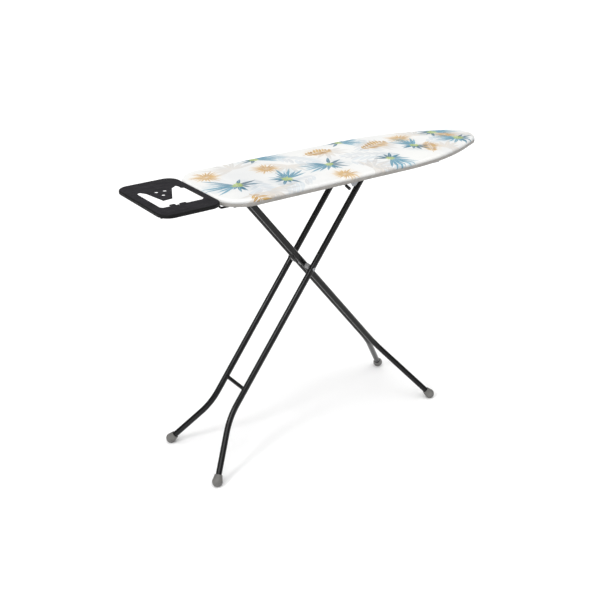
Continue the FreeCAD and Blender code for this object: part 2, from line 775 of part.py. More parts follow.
def release_lever():
    """A cranked wire: a finger under the bar, a shaft along the board, and a handle."""
    finger_x, end_x, shaft_y = value("bar_x"), value("lever_end_x"), value("lever_y")
    shaft_z, low = value("lever_z"), value("finger_z")
    knee = Vector(end_x, value("handle_knee_y"), value("handle_knee_z"))
    tip = Vector(end_x, value("handle_end_y"), value("handle_end_z"))
    wire_part("release_lever", [
        Vector(finger_x, value("finger_y"), low), Vector(finger_x, shaft_y, low),
        Vector(finger_x, shaft_y, shaft_z), Vector(end_x, shaft_y, shaft_z), knee, tip,
    ], "lever_bend", "lever_radius")
    along = (tip - knee).normalize()
    grip = doc.addObject("Part::Feature", "lever_grip")
    start = tip - along * value("grip_length")
    shell = Part.makeCylinder(value("grip_radius"), value("grip_length + grip_end"), start, along)
    bore = Part.makeCylinder(value("lever_radius"), value("grip_length"), start, along)
    round_edge = shell.cut(bore)
    last = max(round_edge.Edges, key=lambda e: (e.CenterOfMass - start).dot(along))
    grip.Shape = round_edge.makeFillet(value("grip_end"), [last])
    keep(grip, "lever_grip")


def lever_spring():
    """A torsion spring round the lever's shaft."""
    coil = doc.addObject("Part::Helix", "spring_line")
    bind(coil, "Pitch", "spring_pitch")
    bind(coil, "Height", "spring_pitch * spring_turns")
    bind(coil, "Radius", "spring_radius")
    doc.recompute()
    section = doc.addObject("Part::Circle", "spring_section")
    bind(section, "Radius", "spring_wire")
    section.Placement = Placement(Vector(value("spring_radius"), 0, 0),
                                  Rotation(Vector(1, 0, 0), 90))
    sweep = doc.addObject("Part::Sweep", "lever_spring")
    sweep.Sections = [section]
    sweep.Spine = (coil, [])
    sweep.Solid = True
    sweep.Frenet = True
    sweep.Placement = Placement(Vector(), Rotation(Vector(0, 1, 0), 90))
    place(sweep, "spring_start_x", "lever_y", "lever_z")
    return keep(sweep, "lever_spring")


def lever_supports():
    """A bracket that folds round the hem near the handle, and a clip under the rack's flange."""
    rim_inside = "-half_width + cloth + rim_width"
    plate = box("lever_bracket_plate", "lever_plate_length", f"lever_plate_inside - ({rim_inside})",
                "steel_sheet", "lever_plate_start", rim_inside, RIM_BOTTOM)
    ear = box("lever_bracket_ear", "lever_ear_length", "2 * lever_ear_half",
              f"{RIM_BOTTOM} - lever_z + lever_ear_below", "lever_ear_x",
              "lever_y - lever_ear_half", "lever_z - lever_ear_below")
    web = box("lever_bracket_web", "shelf_length", "steel_sheet", f"{RIM_BOTTOM} - shelf_z",
              "lever_plate_start", "web_y", "shelf_z")
    shelf = box("lever_bracket_shelf", "shelf_length", "web_y - shelf_y", "steel_sheet",
                "lever_plate_start", "shelf_y", "shelf_z")
    lip = new_body("lever_bracket_lip")
    shape = new_sketch(lip, "XZ_Plane", "lever_lip_shape")
    top, far = "shelf_z + steel_sheet / 2", "lever_plate_start + shelf_length"
    draw(shape, [
        ("lever_plate_start", "shelf_z"), ("lip_start", "lip_z"), ("lip_end", "lip_z"),
        (far, "shelf_z"), (far, top), ("lever_plate_start", top),
    ])
    pad(lip, shape, "steel_sheet", upside_down=True)
    place(lip, y="shelf_y")
    bore = cylinder("lever_bracket_bore", "lever_radius + running_gap", f"4 * {SPARE}",
                    "lever_end_x", "lever_y", "lever_z", Vector(1, 0, 0))
    folded = fuse("lever_bracket", plate, ear, web, shelf, lip)
    keep(cut("lever_bracket", folded, bore), "lever_bracket")
    clip = box("lever_clip_block", "clip_length", "clip_inside + clip_outside",
               f"{SHEET_UNDER} - lever_z + clip_below", "rack_start_x + 1",
               "lever_y - clip_outside", "lever_z - clip_below")
    clip_bore = cylinder("lever_clip_bore", "lever_radius + running_gap", f"3 * {SPARE}",
                         f"rack_start_x - {SPARE}", "lever_y", "lever_z", Vector(1, 0, 0))
    keep(cut("lever_clip", clip, clip_bore), "lever_clip")


release_lever()
lever_spring()
lever_supports()


# ---------------------------------------------------------------- iron rest

def rounded_rectangle(x0, x1, half, corner):
    """Counter-clockwise from the lower left corner's right end."""
    return [
        (f"{x0} + {corner}", f"-({half})"),
        (f"{x1} - {corner}", f"-({half})"),
        (x1, f"-({half}) + {corner}", corner, 1),
        (x1, f"({half}) - {corner}"),
        (f"{x1} - {corner}", half, corner, 1),
        (f"{x0} + {corner}", half),
        (x0, f"({half}) - {corner}", corner, 1),
        (x0, f"-({half}) + {corner}"),
    ]


def iron_rest_plate():
    """A pressed plate with a rolled rim, a window with a tongue in it, and three holes."""
    body = new_body("iron_rest_plate")
    rim_sketch = new_sketch(body, "XY_Plane", "rest_rim")
    loop = rounded_rectangle("rest_far_x", "rest_near_x", "rest_half_width", "rest_corner")
    inner = rounded_rectangle("(rest_far_x + rest_rim_width)", "(rest_near_x - rest_rim_width)",
                              "rest_half_width - rest_rim_width",
                              "(rest_corner - rest_rim_width)")
    draw_rectangle(rim_sketch, loop)
    draw_rectangle(rim_sketch, inner)
    pad(body, rim_sketch, "rest_rim_depth")
    plate = new_sketch(body, "XY_Plane", "rest_sheet")
    draw_rectangle(plate, loop)
    bind(plate, "AttachmentOffset.Base.z", "rest_rim_depth - rest_plate")
    pad(body, plate, "rest_plate")
    window = new_sketch(body, "XY_Plane", "rest_window")
    draw(window, [(f"tail_x + {x}", str(y)) for x, y in REST_WINDOW])
    pocket(body, window, "4 * rest_rim_depth")
    holes = new_sketch(body, "XY_Plane", "rest_holes")
    for x, y in REST_HOLES:
        draw_circle(holes, f"tail_x + {x}", str(y), "rest_hole_radius")
    pocket(body, holes, "4 * rest_rim_depth")
    doc.recompute()
    pressed = body.Tip
    rounding = body.newObject("PartDesign::Fillet", "rest_rounding")
    rounding.Base = (pressed, [f"Edge{n}" for n, edge in enumerate(pressed.Shape.Edges, start=1)
                               if is_rim_edge(edge)])
    bind(rounding, "Radius", "rest_rounding_radius")
    place(body, z="rest_top - rest_rim_depth")
    return keep(body, "iron_rest_plate")


def draw_rectangle(sketch, loop):
    """Draws a rounded rectangle, whose last corner arc closes the loop."""
    closing = loop[0] + (loop[2][2], 1)
    draw(sketch, [closing] + loop[1:])


def is_rim_edge(edge):
    """True for a level edge on the outer rounded rectangle, at its top or bottom."""
    middle = edge.valueAt((edge.FirstParameter + edge.LastParameter) / 2)
    half_x, corner = value("(rest_near_x - rest_far_x) / 2"), value("rest_corner")
    dx = abs(middle.x - value("(rest_far_x + rest_near_x) / 2")) - (half_x - corner)
    dy = abs(middle.y) - (value("rest_half_width") - corner)
    from_corner = math.hypot(max(dx, 0), max(dy, 0))
    return edge.BoundBox.ZLength < 0.01 and abs(from_corner - corner) < 0.1


iron_rest_plate()

for side_name, side in (("left", 1), ("right", -1)):
    rod_y = side * value("rest_rod_y")
    under_rim = value("rest_top - rest_rim_depth - rest_rod_radius")
    prong_z = value("prong_z")
    wire_part(f"rest_rod_{side_name}", [
        Vector(value("rest_far_x + rest_rim_width + 4"), rod_y, under_rim),
        Vector(value("tail_x + rod_drop_start"), rod_y, under_rim),
        Vector(value("tail_x + rod_drop_end"), rod_y, prong_z),
        Vector(value("prong_end_x"), rod_y, prong_z),
    ], "rest_rod_bend", "rest_rod_radius")
    low_y = f"{side} * rest_rod_y - socket_half_width"
    block = box(f"socket_{side_name}_block", "socket_length", "2 * socket_half_width",
                f"{RIM_BOTTOM} - socket_bottom", "socket_start_x", low_y, "socket_bottom")
    inner_edge = "rest_rod_y - socket_half_width"
    tab_y = f"{inner_edge} - socket_tab" if side > 0 else f"-({inner_edge})"
    tab = box(f"socket_{side_name}_tab", "rail_width", "socket_tab",
              f"{RIM_BOTTOM} - {SOCKET_UNDER}",
              "tail_rail_x - rail_width / 2", tab_y, SOCKET_UNDER)
    bore = cylinder(f"socket_{side_name}_bore", "rest_rod_radius + running_gap",
                    "socket_length", "socket_start_x", f"{side} * rest_rod_y", "prong_z",
                    Vector(1, 0, 0))
    sign = "" if side > 0 else "-"
    x, y = next(p for p in SOCKET_SCREWS if p[1].startswith("-") == (sign == "-"))
    hole = screw_hole(f"socket_{side_name}_hole", x, y, SOCKET_UNDER)
    keep(cut(f"rest_socket_{side_name}", fuse(f"socket_{side_name}", block, tab), bore, hole),
         f"rest_socket_{side_name}")


# ---------------------------------------------------------------- checks and files

doc.recompute()
failed = [thing.Label for thing in doc.Objects
          if {"Invalid", "Error"} & set(thing.State)]
if failed:
    raise RuntimeError(f"these objects did not build: {failed}")
for thing in nodes:
    if thing.Shape.isNull() or not thing.Shape.isValid() or not thing.Shape.Solids:
        raise RuntimeError(f"{thing.Label} has no valid solid")

os.makedirs("parts", exist_ok=True)
for thing in nodes:
    thing.Shape.exportStep(f"parts/{thing.Label}.step")
    limits = thing.Shape.BoundBox
    print(f"{thing.Label:22s} {len(thing.Shape.Solids)} solid(s) {thing.Shape.Volume / 1000:9.2f} cm3"
          f"  X {limits.XMin:8.1f} {limits.XMax:8.1f}  Y {limits.YMin:7.1f} {limits.YMax:7.1f}"
          f"  Z {limits.ZMin:7.1f} {limits.ZMax:7.1f}")
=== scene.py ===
import json
import math
import random

import bmesh
import bpy
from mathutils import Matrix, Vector, kdtree


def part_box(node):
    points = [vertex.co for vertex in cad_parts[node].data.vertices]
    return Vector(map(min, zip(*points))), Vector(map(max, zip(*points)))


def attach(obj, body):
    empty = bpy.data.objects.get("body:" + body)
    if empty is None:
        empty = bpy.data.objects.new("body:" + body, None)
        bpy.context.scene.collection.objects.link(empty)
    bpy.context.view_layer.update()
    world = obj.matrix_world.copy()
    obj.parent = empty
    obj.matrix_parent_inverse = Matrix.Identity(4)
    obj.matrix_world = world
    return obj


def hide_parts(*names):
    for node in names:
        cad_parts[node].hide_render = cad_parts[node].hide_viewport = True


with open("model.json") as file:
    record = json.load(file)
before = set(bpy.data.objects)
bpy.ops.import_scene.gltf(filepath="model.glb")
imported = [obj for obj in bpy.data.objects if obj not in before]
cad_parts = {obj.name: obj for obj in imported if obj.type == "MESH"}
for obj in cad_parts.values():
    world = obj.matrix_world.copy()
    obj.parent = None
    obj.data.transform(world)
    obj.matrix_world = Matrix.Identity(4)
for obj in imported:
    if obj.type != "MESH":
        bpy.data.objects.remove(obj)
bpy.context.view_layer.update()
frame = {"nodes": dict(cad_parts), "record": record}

# ------------------------------------------------------------------ sizes, in metres

COVER_LOW, COVER_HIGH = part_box("cover")
HEM_LOW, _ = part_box("cover_hem")
PAD_LOW, PAD_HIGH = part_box("pad")
MESH_LOW, MESH_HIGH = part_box("mesh_top")
TAIL_X, NOSE_X = COVER_LOW.x, COVER_HIGH.x
HALF_WIDTH = COVER_HIGH.y
BOARD_TOP = COVER_HIGH.z
CORNER_RADIUS = 0.085
TAPER_RADIUS = 0.716
TAPER_ANGLE = math.radians(24.6)
NOSE_RADIUS = 0.068
EDGE_ROUNDING = 0.008
RIM_WIDTH = 0.0155

GROUND = 40.0            # the floor's half width
# The light: the world's strength, and each lamp's name, direction, power and angle in degrees.
WORLD_LIGHT = 0.42
LAMPS = [("top", (0.15, 0.2, -1.0), 2.38, 70.0), ("side", (0.8, 0.9, -0.8), 0.35, 30.0),
         ("glint", (0.78, 0.15, -0.57), 0.85, 12.0)]


# ------------------------------------------------------------------ node helpers

class Nodes:
    """A short way to build a shader or group tree."""

    def __init__(self, tree):
        self.tree = tree

    def add(self, kind, **settings):
        node = self.tree.nodes.new(kind)
        for name, setting in settings.items():
            setattr(node, name, setting)
        return node

    def feed(self, socket, source):
        if isinstance(source, bpy.types.NodeSocket):
            self.tree.links.new(source, socket)
        elif source is not None:
            socket.default_value = source

    def math(self, operation, a, b=None, c=None, clamp=False):
        node = self.add("ShaderNodeMath", operation=operation, use_clamp=clamp)
        for socket, source in zip(node.inputs, (a, b, c)):
            self.feed(socket, source)
        return node.outputs[0]

    def vector(self, operation, a, b=None, scale=None):
        node = self.add("ShaderNodeVectorMath", operation=operation)
        self.feed(node.inputs[0], a)
        self.feed(node.inputs[1], b)
        if scale is not None:
            self.feed(node.inputs["Scale"], scale)
        return node.outputs["Value" if operation == "DISTANCE" else "Vector"]

    def mix(self, factor, a, b, blend="MIX"):
        node = self.add("ShaderNodeMix", data_type="RGBA", blend_type=blend)
        self.feed(node.inputs[0], factor)
        self.feed(node.inputs[6], a)
        self.feed(node.inputs[7], b)
        return node.outputs[2]

    def mix_vector(self, factor, a, b):
        node = self.add("ShaderNodeMix", data_type="VECTOR")
        self.feed(node.inputs[0], factor)
        self.feed(node.inputs[4], a)
        self.feed(node.inputs[5], b)
        return node.outputs[1]

    def ramp(self, source, low, high, to_low=0.0, to_high=1.0, smooth=False):
        node = self.add("ShaderNodeMapRange",
                        interpolation_type="SMOOTHSTEP" if smooth else "LINEAR")
        for socket, value in zip(node.inputs, (source, low, high, to_low, to_high)):
            self.feed(socket, value)
        return node.outputs[0]

    def noise(self, vector, scale, detail=3.0, roughness=0.5):
        node = self.add("ShaderNodeTexNoise")
        self.feed(node.inputs["Vector"], vector)
        node.inputs["Scale"].default_value = scale
        node.inputs["Detail"].default_value = detail
        node.inputs["Roughness"].default_value = roughness
        return node.outputs[0]

    def position(self):
        """The piece's own coordinates, which are the row frame's at rest."""
        return self.add("ShaderNodeTexCoord").outputs["Object"]

    def stretched(self, vector, scale):
        node = self.add("ShaderNodeMapping")
        self.feed(node.inputs["Vector"], vector)
        node.inputs["Scale"].default_value = scale
        return node.outputs[0]

    def bump(self, height, strength, distance):
        node = self.add("ShaderNodeBump")
        self.feed(node.inputs["Height"], height)
        node.inputs["Strength"].default_value = strength
        node.inputs["Distance"].default_value = distance
        return node.outputs[0]


def rgb(red, green, blue):
    """A linear colour from sRGB numbers of 0 to 255."""
    linear = [(c / 255 / 12.92) if c < 10.3 else ((c / 255 + 0.055) / 1.055) ** 2.4
              for c in (red, green, blue)]
    return (*linear, 1.0)


def new_material(name, **sockets):
    """A material with one Principled shader, whose constant sockets are given by name."""
    made = bpy.data.materials.new(name)
    made.use_nodes = True
    nodes = Nodes(made.node_tree)
    shader = made.node_tree.nodes["Principled BSDF"]
    for socket, setting in sockets.items():
        shader.inputs[socket.replace("_", " ")].default_value = setting
    return made, nodes, shader


# ------------------------------------------------------------------ the leaf print

WHITE_GROUND, GREY_GROUND = (221, 221, 219), (210, 211, 211)
SEED_STEP = 13.7         # how far apart two sprigs' random numbers lie


def group_with(name, inputs, outputs):
    group = bpy.data.node_groups.new(name, "ShaderNodeTree")
    for label, kind in inputs:
        group.interface.new_socket(label, in_out="INPUT", socket_type=kind)
    for label in outputs:
        group.interface.new_socket(label, in_out="OUTPUT", socket_type="NodeSocketFloat")
    nodes = Nodes(group)
    return group, nodes, nodes.add("NodeGroupInput"), nodes.add("NodeGroupOutput")


LEAF_INPUTS = [("Vector", "NodeSocketVector"), ("Foot", "NodeSocketVector"),
               ("Traits", "NodeSocketVector"), ("Count", "NodeSocketFloat"),
               ("Spread", "NodeSocketFloat"), ("Width", "NodeSocketFloat")]


def split(nodes, vector):
    parts = nodes.add("ShaderNodeSeparateXYZ")
    nodes.feed(parts.inputs[0], vector)
    return parts.outputs["X"], parts.outputs["Y"], parts.outputs["Z"]


def local_plane(nodes, given):
    """The point measured from the sprig's foot, with x along the sprig."""
    turn = split(nodes, given.outputs["Foot"])[2]
    moved = nodes.vector("SUBTRACT", given.outputs["Vector"], given.outputs["Foot"])
    turned = nodes.add("ShaderNodeVectorRotate", rotation_type="Z_AXIS")
    nodes.feed(turned.inputs["Vector"], moved)
    nodes.feed(turned.inputs["Angle"], nodes.math("MULTIPLY", turn, -1.0))
    return split(nodes, turned.outputs[0])[:2]


def chance(nodes, index, seed, step):
    """A steady random number for a leaf of that index."""
    key = nodes.math("MULTIPLY_ADD", seed, SEED_STEP, nodes.math("ADD", index, step))
    noise = nodes.add("ShaderNodeTexWhiteNoise", noise_dimensions="1D")
    nodes.feed(noise.inputs["W"], key)
    return noise.outputs["Value"]


def leaf_blade(nodes, along, across, width):
    """A pointed blade: 1 inside, with a soft edge. along is 0 at the foot and 1 at the tip."""
    inside = nodes.math("MULTIPLY", nodes.ramp(along, 0.0, 0.02),
                        nodes.math("LESS_THAN", along, 1.0))
    bulge = nodes.math("SINE", nodes.math(
        "MULTIPLY", nodes.math("POWER", nodes.math("MAXIMUM", along, 0.0), 0.8), math.pi))
    half = nodes.math("MULTIPLY", width, bulge)
    off = nodes.math("ABSOLUTE", across)
    edge = nodes.ramp(nodes.math("SUBTRACT", half, off), -0.0006, 0.0008, smooth=True)
    vein = nodes.ramp(off, 0.0, 0.0012, 0.50, 1.0, smooth=True)
    return nodes.math("MULTIPLY", nodes.math("MULTIPLY", edge, inside), vein)


def fan_group():
    """Leaves that radiate from one point, like a palm's."""
    group, nodes, given, out = group_with("leaf_fan", LEAF_INPUTS, ["Mask", "Shade"])
    x, y = local_plane(nodes, given)
    size, seed, tone = split(nodes, given.outputs["Traits"])
    reach = nodes.math("SQRT", nodes.math("ADD", nodes.math("MULTIPLY", x, x),
                                          nodes.math("MULTIPLY", y, y)))
    angle = nodes.math("ARCTAN2", y, x)
    step = nodes.math("DIVIDE", given.outputs["Spread"], given.outputs["Count"])
    index = nodes.math("ROUND", nodes.math("DIVIDE", angle, step))
    luck = chance(nodes, index, seed, 0.0)
    lean = nodes.math("MULTIPLY", nodes.math("SUBTRACT", luck, 0.5),
                      nodes.math("MULTIPLY", step, 0.4))
    off = nodes.math("SUBTRACT", nodes.math("SUBTRACT", angle, nodes.math(
        "MULTIPLY", index, step)), lean)
    length = nodes.math("MULTIPLY", size, nodes.ramp(chance(nodes, index, seed, 3.3),
                                                     0.0, 1.0, 0.62, 1.0))
    along = nodes.math("DIVIDE", nodes.math("MULTIPLY", reach, nodes.math("COSINE", off)), length)
    across = nodes.math("MULTIPLY", reach, nodes.math("SINE", off))
    in_spread = nodes.math("LESS_THAN", nodes.math("ABSOLUTE", angle), nodes.math(
        "MULTIPLY", given.outputs["Spread"], 0.5))
    mask = nodes.math("MULTIPLY", leaf_blade(nodes, along, across, given.outputs["Width"]),
                      in_spread)
    nodes.feed(out.inputs["Mask"], mask)
    nodes.feed(out.inputs["Shade"], nodes.math("MULTIPLY_ADD", nodes.math(
        "MULTIPLY_ADD", luck, 0.6, nodes.math("MULTIPLY", along, 0.4)), 0.7, tone))
    return group


def frond_group():
    """Leaflets in pairs along a straight stem, like a feather."""
    group, nodes, given, out = group_with("leaf_frond", LEAF_INPUTS, ["Mask", "Shade"])
    x, y = local_plane(nodes, given)
    size, seed, tone = split(nodes, given.outputs["Traits"])
    height = nodes.math("ABSOLUTE", y)
    slope = given.outputs["Spread"]
    root = nodes.math("SUBTRACT", x, nodes.math("DIVIDE", height, nodes.math("TANGENT", slope)))
    pitch = nodes.math("DIVIDE", size, given.outputs["Count"])
    index = nodes.math("FLOOR", nodes.math("DIVIDE", root, pitch))
    luck = chance(nodes, nodes.math("MULTIPLY_ADD", nodes.math("SIGN", y), 41.0, index),
                  seed, 0.0)
    middle = nodes.math("MULTIPLY", nodes.math("ADD", index, nodes.ramp(
        luck, 0.0, 1.0, 0.35, 0.65)), pitch)
    across = nodes.math("MULTIPLY", nodes.math("SUBTRACT", root, middle),
                        nodes.math("SINE", slope))
    place = nodes.math("DIVIDE", middle, size)
    taper = nodes.math("SINE", nodes.math("MULTIPLY", nodes.ramp(place, 0.0, 1.0, 0.12, 0.97),
                                          math.pi))
    length = nodes.math("MULTIPLY", nodes.math("MULTIPLY", size, 0.40),
                        nodes.math("MULTIPLY", taper, nodes.ramp(luck, 0.0, 1.0, 0.75, 1.1)))
    along = nodes.math("DIVIDE", nodes.math("DIVIDE", height, nodes.math("SINE", slope)),
                       nodes.math("MAXIMUM", length, 0.0005))
    on_stem = nodes.math("MULTIPLY", nodes.math("GREATER_THAN", place, 0.0),
                         nodes.math("LESS_THAN", place, 1.0))
    leaflets = nodes.math("MULTIPLY", leaf_blade(nodes, along, across, given.outputs["Width"]),
                          on_stem)
    stem = nodes.math("MULTIPLY", nodes.ramp(height, 0.0004, 0.0012, 1.0, 0.0, smooth=True),
                      nodes.math("MULTIPLY", nodes.math("GREATER_THAN", x, -0.01),
                                 nodes.math("LESS_THAN", x, size)))
    nodes.feed(out.inputs["Mask"], nodes.math("MAXIMUM", leaflets, stem))
    nodes.feed(out.inputs["Shade"], nodes.math("MULTIPLY_ADD", luck, 0.7, tone))
    return group


def nearest_sprig(nodes, place, sprigs, reach):
    """The foot and the traits of the sprig whose middle is nearest, and how far off that is."""
    best = foot = traits = None
    for seed, (x, y, turn, size, tone) in enumerate(sprigs):
        angle = math.radians(turn)
        middle = (x + math.cos(angle) * size * reach, y + math.sin(angle) * size * reach, 0.0)
        gap = nodes.vector("DISTANCE", place, middle)
        if seed == 0:
            best, foot, traits = gap, (x, y, angle), (size, seed, tone)
            continue
        nearer = nodes.math("LESS_THAN", gap, best)
        foot = nodes.mix_vector(nearer, foot, (x, y, angle))
        traits = nodes.mix_vector(nearer, traits, (size, seed, tone))
        best = nodes.math("MINIMUM", gap, best)
    return foot, traits, best


# The sprigs lie on a staggered grid over the cover: its columns and rows, their pitch in metres,
# the share of it that the columns are shifted by in turn, and how far chance moves a sprig.
PRINT_SEED = 5
SPRIG_COLUMNS, SPRIG_ROWS = 6, 3
SPRIG_PITCH = (0.165, 0.105)
SPRIG_STAGGER = 0.25
SPRIG_STRAY = (0.018, 0.012)
NARROWING = 0.38         # from the nose back, the rows' spread grows by its whole in this length
NARROWEST = 0.15         # the share of their spread that the rows keep at the nose
PALE_SHIFT = 0.4         # the pale sprigs' grid lies this share of the pitch further on
TONE_SPREAD = 0.2
BESIDE, OPPOSITE = 80, 170   # degrees from a palm to the leaves beside it and opposite it
# The least and the most size of each layer's sprigs, in metres.
SPRIG_SIZES = {"pale_frond": (0.15, 0.20), "pale_fan": (0.09, 0.12), "feather": (0.095, 0.115),
               "star": (0.046, 0.060), "palm": (0.085, 0.115), "dark_leaves": (0.055, 0.070),
               "three_leaves": (0.055, 0.068), "heart": (0.020, 0.026)}

# Each layer of the print: its name, form, leaf count, spread in degrees, leaf half width, how far
# along a sprig its middle lies, the two colours, how strongly it prints, and the wash round it.
PRINT_LAYERS = [
    ("pale_frond", "frond", 9, 48, 0.0070, 0.5, (178, 180, 184), (190, 202, 210), 0.60, 0.0),
    ("pale_fan", "fan", 9, 210, 0.0070, 0.25, (206, 190, 170), (178, 184, 190), 0.60, 0.0),
    ("feather", "frond", 9, 60, 0.0042, 0.5, (150, 103, 28), (204, 164, 82), 0.98, 0.42),
    ("star", "fan", 21, 360, 0.0026, 0.0, (158, 112, 34), (210, 170, 92), 0.98, 0.42),
    ("palm", "fan", 7, 88, 0.0041, 0.5, (22, 94, 122), (82, 154, 178), 0.98, 0.40),
    ("dark_leaves", "fan", 5, 170, 0.0052, 0.4, (16, 54, 74), (60, 126, 152), 0.98, 0.30),
    ("three_leaves", "fan", 3, 70, 0.0046, 0.5, (36, 92, 116), (92, 152, 174), 0.97, 0.0),
    ("heart", "fan", 11, 360, 0.0034, 0.0, (150, 170, 72), (178, 192, 118), 0.95, 0.0),
]


def sprig_places(draw, shift):
    """The grid's places, each moved a little by chance, with the number of its diagonal."""
    for column in range(SPRIG_COLUMNS):
        for row in range(SPRIG_ROWS):
            stagger = SPRIG_STAGGER if column % 2 else -SPRIG_STAGGER
            x = TAIL_X + SPRIG_PITCH[0] * (column + 0.5 + shift)
            y = SPRIG_PITCH[1] * (row - (SPRIG_ROWS - 1) / 2 + stagger)
            x += draw.uniform(-1, 1) * SPRIG_STRAY[0]
            y += draw.uniform(-1, 1) * SPRIG_STRAY[1]
            spread = (NOSE_X + SPRIG_STRAY[0] - x) / NARROWING + NARROWEST
            yield column + row, x, y * min(1.0, spread)


def scattered_sprigs():
    """The sprigs of each layer. A sprig is the x and y of its foot, its turn in degrees, its size
    and its tone. Blue bunches alternate with orange feathers and stars, over pale shadows."""
    draw = random.Random(PRINT_SEED)
    sprigs = {layer[0]: [] for layer in PRINT_LAYERS}

    def grow(layer, x, y, turn):
        size = draw.uniform(*SPRIG_SIZES[layer])
        sprigs[layer].append((x, y, turn, size, draw.uniform(0.0, TONE_SPREAD)))

    for diagonal, x, y in sprig_places(draw, 0.0):
        turn = draw.uniform(0, 360)
        if diagonal % 2:
            grow("palm", x, y, turn)
            grow("dark_leaves", x, y, turn + OPPOSITE)
            grow("three_leaves", x, y, turn + BESIDE)
            grow("heart", x, y, turn)
        elif diagonal % 4:
            grow("star", x, y, turn)
        else:
            grow("feather", x, y, turn)
    for diagonal, x, y in sprig_places(draw, PALE_SHIFT):
        if diagonal % 2:
            grow("pale_frond", x, y, draw.uniform(0, 360))
        else:
            grow("pale_fan", x, y, draw.uniform(0, 360))
    return sprigs


def print_and_painted_side_shade(nodes, place):
    """The cover's print: pale shadows of leaves, then coloured sprigs over them; then painted
    shade that darkens the side towards its foot.
    """
    groups = {"fan": fan_group(), "frond": frond_group()}
    sprigs = scattered_sprigs()
    x, y, z = split(nodes, place)
    down = nodes.math("MAXIMUM", nodes.math("SUBTRACT", BOARD_TOP, z), 0.0)
    unrolled = nodes.add("ShaderNodeCombineXYZ")
    nodes.feed(unrolled.inputs["X"], x)
    nodes.feed(unrolled.inputs["Y"], nodes.math("MULTIPLY_ADD", nodes.math("SIGN", y), down, y))
    wander = nodes.add("ShaderNodeTexNoise")
    nodes.feed(wander.inputs["Vector"], place)
    wander.inputs["Scale"].default_value = 28.0
    shift = nodes.vector("SCALE", nodes.vector("SUBTRACT", wander.outputs["Color"],
                                               (0.5, 0.5, 0.5)), scale=0.006)
    flat = nodes.vector("MULTIPLY", nodes.vector("ADD", unrolled.outputs[0], shift),
                        (1.0, 1.0, 0.0))
    wash = nodes.ramp(nodes.noise(place, 45.0, 5.0, 0.65), 0.30, 0.60, 0.90, 1.0)
    blot = nodes.ramp(nodes.noise(place, 70.0, 4.0), 0.35, 0.65)
    colour = nodes.mix(nodes.ramp(nodes.noise(place, 5.0, 2.0), 0.4, 0.7),
                       rgb(*WHITE_GROUND), rgb(*GREY_GROUND))
    for name, form, count, spread, width, reach, one, other, strength, halo in PRINT_LAYERS:
        foot, traits, gap = nearest_sprig(nodes, flat, sprigs[name], reach)
        leaf = nodes.add("ShaderNodeGroup", node_tree=groups[form])
        for socket, source in zip(leaf.inputs, (flat, foot, traits, float(count),
                                                math.radians(spread), width)):
            nodes.feed(socket, source)
        tint = nodes.mix(leaf.outputs["Shade"], rgb(*one), rgb(*other))
        amount = nodes.math("MULTIPLY", leaf.outputs["Mask"],
                            nodes.math("MULTIPLY", wash, strength))
        if halo:
            bloom = nodes.math("MULTIPLY", nodes.ramp(gap, 0.010, 0.058, halo, 0.0, smooth=True),
                               blot)
            colour = nodes.mix(bloom, colour, rgb(*other))
        colour = nodes.mix(amount, colour, tint)
    # painted shade: the cover's side darkens towards its foot, down to 0.42 of the print's colour
    low = nodes.ramp(z, COVER_LOW.z + 0.004, BOARD_TOP - 0.003, 0.42, 1.0, smooth=True)
    return nodes.vector("SCALE", colour, scale=low)


def weave(nodes, place, pitch):
    """The height of a plain weave, whose threads lie pitch apart."""
    along, across, _ = split(nodes, nodes.vector("SCALE", place, scale=math.pi / pitch))
    return nodes.math("MULTIPLY", nodes.math("SINE", along), nodes.math("SINE", across))


def cover_material():
    made, nodes, shader = new_material("printed_cotton", Roughness=0.86, Sheen_Weight=0.25,
                                       Sheen_Roughness=0.4, Specular_IOR_Level=0.25)
    place = nodes.position()
    nodes.feed(shader.inputs["Base Color"], print_and_painted_side_shade(nodes, place))
    cloth = nodes.math("MULTIPLY_ADD", nodes.noise(place, 900.0, 2.0), 0.8,
                       weave(nodes, place, 0.0009))
    nodes.feed(shader.inputs["Normal"], nodes.bump(cloth, 0.22, 0.0002))
    return made


def hem_material():
    """Woven tape, grey-beige, with ribs across it; its grey is darkened further as painted shade
    at the foot of the side.
    """
    made, nodes, shader = new_material("hem_tape", Roughness=0.9, Sheen_Weight=0.2)
    place = nodes.position()
    patches = nodes.ramp(nodes.noise(place, 60.0, 3.0), 0.3, 0.7)
    # the tape's grey-beige, darkened in part as painted shade at the foot of the side
    nodes.feed(shader.inputs["Base Color"], nodes.mix(patches, rgb(132, 129, 125),
                                                      rgb(150, 147, 143)))
    nodes.feed(shader.inputs["Normal"], nodes.bump(weave(nodes, place, 0.0011), 0.35, 0.0003))
    return made


def felt_material():
    made, nodes, shader = new_material("needled_felt", Roughness=0.95, Sheen_Weight=0.3)
    place = nodes.position()
    fibres = nodes.noise(nodes.stretched(place, (1.0, 2.4, 1.0)), 420.0, 6.0, 0.75)
    clumps = nodes.noise(place, 30.0, 4.0)
    nodes.feed(shader.inputs["Base Color"], nodes.mix(
        nodes.math("MULTIPLY", fibres, clumps), rgb(198, 192, 182), rgb(232, 229, 222)))
    nodes.feed(shader.inputs["Normal"], nodes.bump(fibres, 0.6, 0.0008))
    return made


